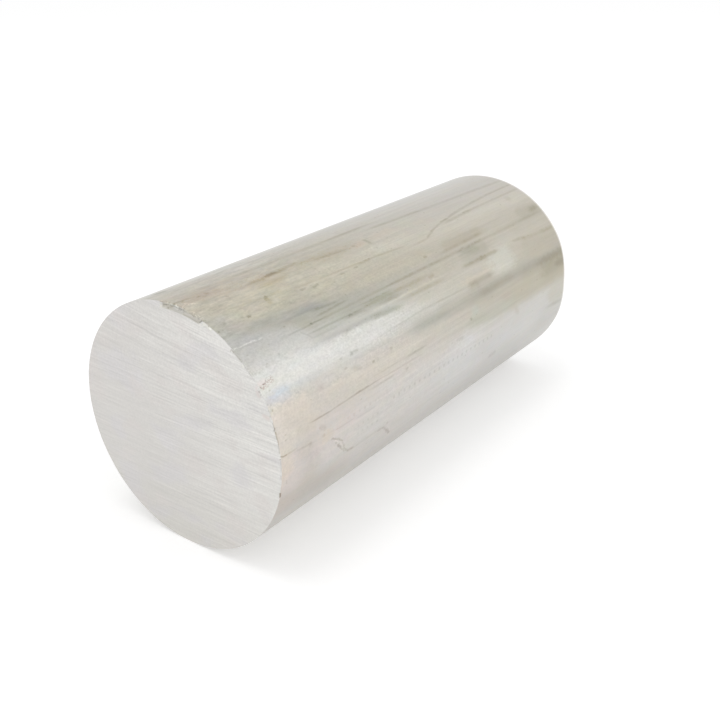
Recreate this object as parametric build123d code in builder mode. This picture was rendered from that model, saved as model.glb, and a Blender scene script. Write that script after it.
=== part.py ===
from build123d import *
import os

# Solid aluminium round bar, one piece, sawn square at both ends.
# Millimetres, +Z up. The bar lies on the floor with its axis along X; the origin is on the
# floor under the middle of the bar. The near end faces -X and the far end faces +X.

# The stock
bar_diameter = 65.0
bar_length = 150.0

# The torn arris on the near end: a shallow step left where the saw broke out of the cut.
# Angles go round the bar from straight up, towards -Y.
tear_across_face = 1.3
tear_along_bar = 0.9
tear_start_angle = -4.5
tear_arc = 23.5

# Tied to the sizes above
bar_radius = bar_diameter / 2
near_end_x = -bar_length / 2
tool_clearance = 2 * tear_across_face

bar_axis = Axis((0, 0, bar_radius), (1, 0, 0))
section_plane = Plane(origin=(0, 0, bar_radius), x_dir=(0, 1, 0), z_dir=(1, 0, 0))

# Sketch plane through the bar axis at the start of the tear:
# x runs into the bar from the near end, y runs outwards from the axis.
upright_plane = Plane(origin=(near_end_x, 0, bar_radius), x_dir=(1, 0, 0), z_dir=(0, -1, 0))
tear_plane = upright_plane.rotated((tear_start_angle, 0, 0))

with BuildPart() as bar:
    # Full round section, drawn out half the length each way
    with BuildSketch(section_plane):
        Circle(bar_radius)
    extrude(amount=bar_length / 2, both=True)

    # The tear slopes from the face up to the skin and is swept part-way round the rim
    with BuildSketch(tear_plane):
        with BuildLine():
            Polyline(
                (0, bar_radius - tear_across_face),
                (tear_along_bar, bar_radius),
                (tear_along_bar, bar_radius + tool_clearance),
                (-tool_clearance, bar_radius + tool_clearance),
                (-tool_clearance, bar_radius - tear_across_face),
                close=True,
            )
        make_face()
    revolve(axis=bar_axis, revolution_arc=tear_arc, mode=Mode.SUBTRACT)

bar.part.label = "bar"
os.makedirs("parts", exist_ok=True)
export_step(bar.part, "parts/bar.step")
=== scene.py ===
import bpy
import math
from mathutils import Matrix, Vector


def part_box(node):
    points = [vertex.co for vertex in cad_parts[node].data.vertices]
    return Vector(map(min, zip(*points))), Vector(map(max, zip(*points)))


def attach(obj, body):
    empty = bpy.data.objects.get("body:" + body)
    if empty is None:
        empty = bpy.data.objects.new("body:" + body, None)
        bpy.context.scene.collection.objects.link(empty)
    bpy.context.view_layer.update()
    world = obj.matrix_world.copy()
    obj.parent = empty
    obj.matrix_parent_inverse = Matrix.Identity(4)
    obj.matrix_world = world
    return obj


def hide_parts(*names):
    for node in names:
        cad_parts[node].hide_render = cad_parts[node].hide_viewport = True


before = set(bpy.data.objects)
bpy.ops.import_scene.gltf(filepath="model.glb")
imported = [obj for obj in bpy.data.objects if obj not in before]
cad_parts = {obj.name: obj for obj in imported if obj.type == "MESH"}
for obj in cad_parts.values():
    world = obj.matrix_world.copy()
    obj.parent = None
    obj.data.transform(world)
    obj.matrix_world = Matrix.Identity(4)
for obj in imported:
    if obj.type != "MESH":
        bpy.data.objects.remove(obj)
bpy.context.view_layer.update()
barLow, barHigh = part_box("bar")
barRadius = (barHigh.z - barLow.z) / 2
barLength = barHigh.x - barLow.x
axisHeight = (barHigh.z + barLow.z) / 2
radiusMm = barRadius * 1000
lengthMm = barLength * 1000
mmPerDegree = math.radians(radiusMm)  # arc length on the skin for one degree of turn
print("frame loaded: bar", round(2 * radiusMm, 2), "x", round(lengthMm, 2), "mm")


def clearSelection():
    if bpy.context.object and bpy.context.object.mode != "OBJECT":
        bpy.ops.object.mode_set(mode="OBJECT")
    bpy.ops.object.select_all(action="DESELECT")


# Node helpers, used for the relief and for the materials alike
def plug(tree, value, socket):
    if isinstance(value, bpy.types.NodeSocket):
        tree.links.new(value, socket)
    else:
        socket.default_value = value


def addNode(tree, kind, sockets=None, **settings):
    node = tree.nodes.new(kind)
    for name, value in settings.items():
        setattr(node, name, value)
    for name, value in (sockets or {}).items():
        plug(tree, value, node.inputs[name])
    return node


def calc(tree, operation, *values):
    return addNode(tree, "ShaderNodeMath", dict(enumerate(values)), operation=operation).outputs[0]


def minus(tree, value, less):
    return calc(tree, "SUBTRACT", value, less)


def times(tree, product, *factors):
    for factor in factors:
        product = calc(tree, "MULTIPLY", product, factor)
    return product


def timesPlus(tree, value, factor, more):
    return calc(tree, "MULTIPLY_ADD", value, factor, more)


def apart(tree, value, middle):
    return calc(tree, "ABSOLUTE", minus(tree, value, middle))


def ramp(tree, value, start, end, low=0.0, high=1.0, curve="LINEAR"):
    limits = {"Value": value, "From Min": start, "From Max": end, "To Min": low, "To Max": high}
    node = addNode(tree, "ShaderNodeMapRange", limits, interpolation_type=curve, clamp=False)
    return node.outputs["Result"]


def ease(tree, value, start, end, low=0.0, high=1.0):
    return ramp(tree, value, start, end, low, high, "SMOOTHSTEP")


# 1 from full to last, falling to 0 at start and at gone
def between(tree, value, start, full, last, gone):
    return times(tree, ease(tree, value, start, full), ease(tree, value, gone, last))


def vectorCalc(tree, operation, *values):
    return addNode(tree, "ShaderNodeVectorMath", dict(enumerate(values)), operation=operation).outputs[0]


def scaled(tree, vector, amount):
    return addNode(tree, "ShaderNodeVectorMath", {0: vector, "Scale": amount}, operation="SCALE").outputs[0]


# Noise whose lumps are size millimetres along X, Y and Z; seed slides it to a fresh place
def grain(tree, place, size, seed=0.0, detail=2.0, roughness=0.5):
    lumps = vectorCalc(tree, "DIVIDE", place, size)
    slid = vectorCalc(tree, "ADD", lumps, (seed, seed * 1.7, seed * 0.6))
    noise = {"Vector": slid, "Scale": 1.0, "Detail": detail, "Roughness": roughness}
    return addNode(tree, "ShaderNodeTexNoise", noise).outputs[0]


# Noise swings a value by up to half of reach each way; sway is the swing alone, round a middle
def wander(tree, value, noise, reach):
    return timesPlus(tree, minus(tree, noise, 0.5), reach, value)


def sway(tree, noise, reach, middle=0.0):
    return ramp(tree, noise, 0.3, 0.7, middle - reach, middle + reach)


# Where a point is on the bar: millimetres from the near end, degrees from straight up towards -Y,
# and millimetres out from the axis
def barPlace(tree, position):
    mm = scaled(tree, position, 1000.0)
    split = addNode(tree, "ShaderNodeSeparateXYZ", {0: mm})
    side, up = split.outputs[1], minus(tree, split.outputs[2], axisHeight * 1000)
    right = times(tree, side, -1.0)
    turn = calc(tree, "DEGREES", calc(tree, "ARCTAN2", right, up))
    squares = calc(tree, "ADD", times(tree, side, side), times(tree, up, up))
    return {
        "mm": mm,
        "along": minus(tree, split.outputs[0], barLow.x * 1000),
        "turn": turn,
        "outward": calc(tree, "SQRT", squares),
        "right": right,
        "up": up,
    }


# A stroke on the skin runs between two (along, turn) points; width is half its width, bow is how far its
# middle swings out, and both are in millimetres. strokeShape turns it into plain numbers for strokeMask.
def strokeShape(mark):
    stepAlong = mark["end"][0] - mark["start"][0]
    stepRound = (mark["end"][1] - mark["start"][1]) * mmPerDegree
    length = math.hypot(stepAlong, stepRound)
    return {
        "Start Along": mark["start"][0],
        "Start Turn": mark["start"][1],
        "Way Along": stepAlong / length,
        "Way Round": stepRound / length,
        "Length": length,
        "Width": mark["width"],
        "Soft": mark["soft"],
        "Core": -min(mark["soft"], mark["width"]),
        "Fade": mark.get("fade", mark["soft"]),
        "Bend": -4 * mark.get("bow", 0.0) / length**2,
    }


def strokeMask(tree, along, turn, shape):
    fromAlong = minus(tree, along, shape["Start Along"])
    fromRound = times(tree, minus(tree, turn, shape["Start Turn"]), mmPerDegree)
    down = times(tree, fromAlong, shape["Way Along"])
    down = timesPlus(tree, fromRound, shape["Way Round"], down)
    across = times(tree, fromRound, shape["Way Along"])
    across = minus(tree, across, times(tree, fromAlong, shape["Way Round"]))
    left = minus(tree, shape["Length"], down)
    across = timesPlus(tree, times(tree, down, left), shape["Bend"], across)
    back = times(tree, shape["Fade"], -1.0)
    ends = times(tree, ease(tree, down, back, shape["Fade"]), ease(tree, left, back, shape["Fade"]))
    narrowed = times(tree, shape["Width"], ends)  # a stroke thins out towards both ends
    reach = minus(tree, calc(tree, "ABSOLUTE", across), narrowed)
    return times(tree, ease(tree, reach, shape["Soft"], shape["Core"]), ends)


# The blank: one end face cut into fine rows that run the way the saw ran, drawn out along the bar
blankCuts = dict(
    facets=720,
    rowStep=0.24,
    columnStep=2.6,
    rings=47,
    nearRings=(0.14, 0.3, 0.5, 0.75, 1.05, 1.5, 2.1),  # millimetres from the near end
    farRings=(0.15, 0.35, 0.7, 1.3),  # and from the far end
    smoothBelow=32,  # degrees between two faces
)


def cutAcross(point, normal, threshold):
    bpy.ops.mesh.select_all(action="SELECT")
    bpy.ops.mesh.bisect(plane_co=point, plane_no=normal, threshold=threshold)


def cutDisc(axis, step, facets):
    centre = axisHeight if axis == 2 else 0.0
    last, cuts = barRadius, 0
    for k in range(1, facets // 2):
        place = barRadius * math.cos(2 * math.pi * k / facets)  # where two of the rim's own points lie
        if last - place >= step and place + barRadius > 0.7 * step:
            point, normal = [0.0, 0.0, 0.0], [0.0, 0.0, 0.0]
            point[axis], normal[axis] = centre + place, 1.0
            cutAcross(point, normal, threshold=2e-7)
            last, cuts = place, cuts + 1
    return cuts


def makeBlank(cuts):
    clearSelection()
    bpy.ops.mesh.primitive_circle_add(
        vertices=cuts["facets"], radius=barRadius, fill_type="NGON",
        location=(barLow.x, 0, axisHeight), rotation=(0, -math.pi / 2, 0),
    )
    piece = bpy.context.object
    piece.name = "sawnBar"
    bpy.ops.object.transform_apply(location=True, rotation=True, scale=True)
    bpy.ops.object.mode_set(mode="EDIT")
    rows = cutDisc(2, cuts["rowStep"] / 1000, cuts["facets"])
    columns = cutDisc(1, cuts["columnStep"] / 1000, cuts["facets"])
    bpy.ops.mesh.select_all(action="SELECT")
    bpy.ops.mesh.extrude_region_move(TRANSFORM_OT_translate={"value": (barLength, 0, 0)})
    bpy.ops.mesh.select_mode(type="EDGE")
    bpy.ops.mesh.select_all(action="DESELECT")
    bpy.ops.object.mode_set(mode="OBJECT")
    points = [point.co.copy() for point in piece.data.vertices]
    for edge in piece.data.edges:  # the long edges from end to end
        first, second = edge.vertices
        edge.select = abs(points[first].x - points[second].x) > barLength / 2
    bpy.ops.object.mode_set(mode="EDIT")
    bpy.ops.mesh.subdivide(number_cuts=cuts["rings"])
    rings = [barLow.x + inset / 1000 for inset in cuts["nearRings"]]
    rings += [barHigh.x - inset / 1000 for inset in cuts["farRings"]]
    for ring in rings:
        cutAcross((ring, 0, 0), (1, 0, 0), threshold=1e-6)
    bpy.ops.mesh.select_all(action="SELECT")
    bpy.ops.mesh.normals_make_consistent(inside=False)
    bpy.ops.object.mode_set(mode="OBJECT")
    print("blank cut:", rows, "rows,", columns, "columns,", len(piece.data.polygons), "faces")
    return piece


bar = makeBlank(blankCuts)


# Closer mesh in zones by the surface, each given as along from and to, then turn from and to
def tighten(piece, label, cuts, zones, depth=2.4):
    bpy.ops.object.mode_set(mode="EDIT")
    bpy.ops.mesh.select_mode(type="FACE")
    bpy.ops.mesh.select_all(action="DESELECT")
    bpy.ops.object.mode_set(mode="OBJECT")
    for face in piece.data.polygons:
        side, up = -face.center.y, face.center.z - axisHeight
        along = (face.center.x - barLow.x) * 1000
        turn = math.degrees(math.atan2(side, up))
        inset = radiusMm - math.hypot(side, up) * 1000
        face.select = inset < depth and any(
            fromAlong < along < toAlong and fromTurn < turn < toTurn
            for fromAlong, toAlong, fromTurn, toTurn in zones
        )
    bpy.ops.object.mode_set(mode="EDIT")
    bpy.ops.mesh.subdivide(number_cuts=cuts)
    bpy.ops.object.mode_set(mode="OBJECT")
    print("closer mesh for", label + ":", len(piece.data.polygons), "faces")


tighten(bar, "torn arris", 2, ((-1, 2.2, -9, 52),))
tighten(bar, "dents", 5, ((16, 28, 88, 106), (40, 48, 102, 115)))

# Real relief, in millimetres and degrees
tear = dict(start=-4.5, end=19.0, acrossFace=1.3, alongBar=0.9)  # as in the solid
farDip = dict(depth=1.5, turn=88.0, halfArc=27.0, runOut=26.0)  # the far cut wanders in on one side
sawMarks = dict(setBack=0.10, coarse=0.045, main=0.04, fine=0.015)
skinRelief = dict(dieLines=0.007, waves=0.012)
# each arc on the rim starts, is full, is last full and is gone at these turns
burr = dict(height=0.11, arc=(tear["end"] - 0.1, tear["end"] + 0.3, 44.0, 49.0))
nick = dict(depth=0.22, arc=(69.5, 71.0, 77.0, 80.0))
notch = dict(depth=0.2, turn=47.0, halfArc=0.9)
skinDents = (
    dict(start=(18.6, 91.4), end=(23.2, 95.8), width=0.22, soft=0.3, depth=0.09),
    dict(start=(20.9, 96.0), end=(24.8, 102.9), width=0.3, soft=0.35, depth=0.12),
    dict(start=(19.4, 92.6), end=(24.2, 100.4), width=0.5, soft=0.7, depth=0.05),  # the hollow round both
    dict(start=(41.6, 104.4), end=(46.2, 111.6), width=0.35, soft=0.4, depth=0.10),  # a score further on
)


def farDipAt(tree, turn):
    return ease(tree, apart(tree, turn, farDip["turn"]), farDip["halfArc"], 0.0, 0.0, farDip["depth"])


# Rows that run as the saw did: they sink to the right at the top of the face and level out below
def sawRows(tree, place, depth, tilt, bend):
    lean = ease(tree, place["up"], 0.05 * radiusMm, radiusMm, tilt, tilt + bend)
    line = timesPlus(tree, place["right"], lean, place["up"])
    return addNode(tree, "ShaderNodeCombineXYZ", {0: depth, 1: place["right"], 2: line}).outputs[0]


def sawDepth(tree, place, tilt, bend, seed):
    rows = sawRows(tree, place, 0.0, tilt, bend)
    coarse = grain(tree, rows, (1, 60, 3.2), seed, 1.0)
    main = grain(tree, rows, (1, 28, 1.25), seed + 7, 2.0, 0.6)
    fine = grain(tree, rows, (1, 12, 0.5), seed + 13, 1.0)
    depth = times(tree, minus(tree, coarse, 0.5), 2 * sawMarks["coarse"])
    depth = wander(tree, depth, main, 2 * sawMarks["main"])
    depth = wander(tree, depth, fine, 2 * sawMarks["fine"])
    return calc(tree, "ADD", depth, sawMarks["setBack"])


# The torn arris: a ragged step between the face and the skin, with blunt ends
def tearArris(tree, place, inset, pushAlong, pushOut):
    mm, along = place["mm"], place["along"]
    tearArc = (tear["start"] - 0.4, tear["start"] + 0.5, tear["end"] - 0.15, tear["end"] + 0.25)
    ragged = grain(tree, mm, (3, 1.1, 1.1), 41.0, 3.0, 0.6)
    torn = times(tree, between(tree, place["turn"], *tearArc), ramp(tree, ragged, 0.25, 0.75, 0.55, 1.15))
    wide = calc(tree, "MAXIMUM", times(tree, torn, tear["acrossFace"]), 0.0001)
    deep = calc(tree, "MAXIMUM", times(tree, torn, tear["alongBar"]), 0.0001)
    reachIn = calc(tree, "MAXIMUM", minus(tree, 1.0, calc(tree, "DIVIDE", inset, wide)), 0.0)
    reachOn = calc(tree, "MAXIMUM", minus(tree, 1.0, calc(tree, "DIVIDE", along, deep)), 0.0)
    crumbs = grain(tree, mm, (0.5, 0.5, 0.5), 53.0, 3.0, 0.7)
    share = times(tree, reachIn, reachOn, 0.5, ramp(tree, crumbs, 0.3, 0.7, 0.8, 1.25))
    return timesPlus(tree, share, deep, pushAlong), minus(tree, pushOut, times(tree, share, wide))


# A thin burr stands up round the rims, most of it just past the tear; the near rim has a nick and a notch
def roughenRims(tree, place, inset, fromFar, pushAlong, pushOut):
    turn = place["turn"]
    rim = ease(tree, inset, 0.35, 0.0)
    edgeNear = times(tree, rim, ease(tree, place["along"], 0.3, 0.0))
    edgeFar = times(tree, rim, ease(tree, fromFar, 0.3, 0.0))
    flakes = ease(tree, grain(tree, place["mm"], (2, 0.9, 0.9), 61.0, 2.0), 0.3, 0.7)
    little = times(tree, flakes, 0.25)
    raised = timesPlus(tree, between(tree, turn, *burr["arc"]), times(tree, flakes, 0.75), little)
    pushAlong = timesPlus(tree, times(tree, edgeNear, raised), -0.35 * burr["height"], pushAlong)
    pushAlong = timesPlus(tree, times(tree, edgeFar, little), 0.35 * burr["height"], pushAlong)
    nicked = times(tree, edgeNear, between(tree, turn, *nick["arc"]))
    pushOut = timesPlus(tree, nicked, -nick["depth"], pushOut)
    notched = times(tree, edgeNear, ease(tree, apart(tree, turn, notch["turn"]), notch["halfArc"], 0.2))
    return pushAlong, timesPlus(tree, notched, -notch["depth"], pushOut)


def addRelief(piece):
    tree = bpy.data.node_groups.new("barRelief", "GeometryNodeTree")
    tree.interface.new_socket("Geometry", in_out="INPUT", socket_type="NodeSocketGeometry")
    tree.interface.new_socket("Geometry", in_out="OUTPUT", socket_type="NodeSocketGeometry")
    way = addNode(tree, "NodeGroupInput")
    out = addNode(tree, "NodeGroupOutput")
    place = barPlace(tree, addNode(tree, "GeometryNodeInputPosition").outputs[0])
    mm, along, turn, outward = place["mm"], place["along"], place["turn"], place["outward"]
    inset = calc(tree, "MAXIMUM", minus(tree, radiusMm, outward), 0.0)
    fromFar = minus(tree, lengthMm, along)
    onSkin, onNear, onFar = [ease(tree, distance, 0.02, 0.01) for distance in (inset, along, fromFar)]

    # saw marks push both end faces inwards, and the far cut dips
    near = times(tree, onNear, sawDepth(tree, place, 0.01, 0.16, 3.0))
    far = times(tree, onFar, sawDepth(tree, place, -0.06, 0.1, 31.0))
    dip = times(tree, farDipAt(tree, turn), ease(tree, fromFar, farDip["runOut"], 0.0))
    dip = times(tree, dip, calc(tree, "POWER", calc(tree, "DIVIDE", outward, radiusMm), 2.0))
    pushAlong = minus(tree, minus(tree, near, far), dip)

    # die lines, slow waves and dents sink the skin
    sink = times(tree, grain(tree, mm, (90, 1.3, 1.3), 5.0, 1.0), skinRelief["dieLines"])
    sink = timesPlus(tree, grain(tree, mm, (70, 7, 7), 17.0, 1.0), skinRelief["waves"], sink)
    for dent in skinDents:
        sink = timesPlus(tree, strokeMask(tree, along, turn, strokeShape(dent)), dent["depth"], sink)
    pushOut = times(tree, sink, onSkin, -1.0)

    pushAlong, pushOut = tearArris(tree, place, inset, pushAlong, pushOut)
    pushAlong, pushOut = roughenRims(tree, place, inset, fromFar, pushAlong, pushOut)

    # millimetres along the bar and outwards, turned into a move in metres
    alongMove = times(tree, pushAlong, 0.001)
    perRadius = calc(tree, "DIVIDE", times(tree, pushOut, 0.001), calc(tree, "MAXIMUM", outward, 0.001))
    sideMove = times(tree, place["right"], -1.0, perRadius)
    upMove = times(tree, place["up"], perRadius)
    move = addNode(tree, "ShaderNodeCombineXYZ", {0: alongMove, 1: sideMove, 2: upMove}).outputs[0]
    moved = addNode(tree, "GeometryNodeSetPosition", {"Geometry": way.outputs[0], "Offset": move})
    tree.links.new(moved.outputs[0], out.inputs[0])
    clearSelection()
    piece.select_set(True)
    bpy.context.view_layer.objects.active = piece
    relief = piece.modifiers.new("barRelief", "NODES")
    relief.node_group = tree
    bpy.ops.object.modifier_apply(modifier=relief.name)


# each face knows whether it was sawn or drawn before the relief moves it
sawn = [abs(face.normal.x) > 0.7 for face in bar.data.polygons]
addRelief(bar)
bpy.ops.object.shade_smooth_by_angle(angle=math.radians(blankCuts["smoothBelow"]))
print("relief on:", len(bar.data.vertices), "points")


# Materials
def mixTint(tree, colour, tint, amount, blend="MIX"):
    node = addNode(tree, "ShaderNodeMix", data_type="RGBA", blend_type=blend)
    plug(tree, amount, node.inputs[0])
    plug(tree, colour, node.inputs[6])
    plug(tree, tint if isinstance(tint, bpy.types.NodeSocket) else (*tint, 1.0), node.inputs[7])
    return node.outputs[2]


# One layer on the skin: inside its stroke the colour takes the tint, or is multiplied by it; at the edge the
# noise decides how far the layer reaches
def makeLayer(name, blend):
    group = bpy.data.node_groups.new(name, "ShaderNodeTree")
    for socket in ("Colour", "Tint"):
        group.interface.new_socket(socket, in_out="INPUT", socket_type="NodeSocketColor")
    shape = strokeShape(dict(start=(0, 0), end=(1, 0), width=1.0, soft=1.0))
    for socket in ("Along", "Turn", "Noise", "Fray", "Amount", *shape):
        group.interface.new_socket(socket, in_out="INPUT", socket_type="NodeSocketFloat")
    group.interface.new_socket("Colour", in_out="OUTPUT", socket_type="NodeSocketColor")
    way = addNode(group, "NodeGroupInput").outputs
    mask = strokeMask(group, way["Along"], way["Turn"], {socket: way[socket] for socket in shape})
    edge = times(group, mask, minus(group, 4.0, times(group, mask, 4.0)))
    frayed = timesPlus(group, times(group, edge, way["Noise"]), way["Fray"], mask)
    share = times(group, frayed, way["Amount"])
    result = mixTint(group, way["Colour"], way["Tint"], share, blend)
    group.links.new(result, addNode(group, "NodeGroupOutput").inputs[0])
    return group


coverLayer = makeLayer("coverLayer", "MIX")
shadeLayer = makeLayer("shadeLayer", "MULTIPLY")


# A mark runs between two (along, turn) places, with half its width and how soft its edge is. cover gives the
# metal a tone of its own, shade multiplies what is under it by a gain; fade is how gently the ends run out.
def cover(start, end, width, soft, tint, fade=None, amount=1.0, bow=0.0, pitch=None, layer=coverLayer):
    fade = soft if fade is None else fade
    mark = dict(start=start, end=end, width=width, soft=soft, fade=fade, bow=bow)
    mark.update(tint=tint, amount=amount, pitch=pitch, layer=layer)
    return mark


def shade(*values, **more):
    return cover(*values, layer=shadeLayer, **more)


def layOn(tree, colour, mark, along, turn, noise=0.0, fray=0.0, amount=1.0):
    sockets = {"Colour": colour, "Tint": (*mark["tint"], 1.0), "Along": along, "Turn": turn}
    sockets.update({"Noise": noise, "Fray": fray, "Amount": amount, **strokeShape(mark)})
    return addNode(tree, "ShaderNodeGroup", sockets, node_tree=mark["layer"]).outputs[0]


skinFinish = dict(
    roughness=0.39,
    roughSway=0.04,
    roughMottle=0.10,
    bump=0.000012,  # metres
    # how far noise moves the films, marks and spots: millimetres along and degrees round
    filmWander=dict(cloudAlong=12.0, mottleAlong=5.0, mottleTurn=3.0, cloudTurn=4.0),
    markWander=dict(along=2.0, turn=0.8),
    spotWander=dict(along=1.6, turn=2.2),
    fray=dict(film=1.6, mark=1.4, spot=1.6, rim=1.2),  # how ragged their edges are
    # how much each kind of unevenness lightens and darkens the metal
    lines=0.043,
    hairs=0.033,
    broad=0.025,
    mottle=0.05,
    grit=0.075,
    blotches=0.12,
    hueSwing=(0.09, 0.06, 0.12),
    pitTone=(0.80, 0.79, 0.75),
    rimHighlightTone=(0.88, 0.87, 0.85),  # the far rim, a painted highlight
    rimHighlightWidth=1.35,
    # degrees of turn, and the tone of the skin there: first by the near end, then by the far end
    # Mostly the stains' own tones, with painted light in both rings. The light stop at -24 degrees paints a
    # reflection along the upper limb. By the near end, the light stops from 81 to 112 degrees paint the
    # lower side lit brighter.
    nearTones=(
        (-180, (0.57, 0.55, 0.51)), (-120, (0.58, 0.56, 0.52)), (-60, (0.57, 0.555, 0.515)),
        (-24, (0.675, 0.665, 0.635)), (-16, (0.55, 0.535, 0.49)), (-7, (0.52, 0.495, 0.44)),
        (2, (0.51, 0.482, 0.415)), (13, (0.535, 0.505, 0.425)), (23, (0.55, 0.52, 0.43)),
        (31, (0.515, 0.49, 0.41)), (38, (0.465, 0.445, 0.38)), (46, (0.45, 0.435, 0.39)),
        (51, (0.47, 0.465, 0.43)), (57, (0.52, 0.515, 0.48)), (62, (0.485, 0.475, 0.445)),
        (67, (0.52, 0.49, 0.45)), (73, (0.575, 0.54, 0.488)), (81, (0.615, 0.582, 0.545)),
        (95, (0.62, 0.6, 0.57)), (112, (0.625, 0.598, 0.568)), (140, (0.59, 0.57, 0.53)),
        (180, (0.57, 0.55, 0.51)),
    ),
    farTones=(
        (-180, (0.57, 0.555, 0.52)), (-60, (0.57, 0.56, 0.525)), (-24, (0.7, 0.69, 0.675)),
        (-16, (0.575, 0.565, 0.535)), (-5, (0.57, 0.55, 0.51)), (6, (0.545, 0.522, 0.48)),
        (16, (0.56, 0.532, 0.48)), (27, (0.595, 0.565, 0.495)), (35, (0.53, 0.497, 0.43)),
        (44, (0.502, 0.473, 0.405)), (52, (0.48, 0.45, 0.385)), (60, (0.465, 0.437, 0.372)),
        (66, (0.43, 0.405, 0.345)), (72, (0.465, 0.44, 0.37)), (79, (0.5, 0.475, 0.41)),
        (86, (0.57, 0.555, 0.52)), (100, (0.585, 0.578, 0.555)), (112, (0.57, 0.56, 0.535)),
        (140, (0.565, 0.55, 0.52)), (180, (0.57, 0.555, 0.52)),
    ),
)

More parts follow.
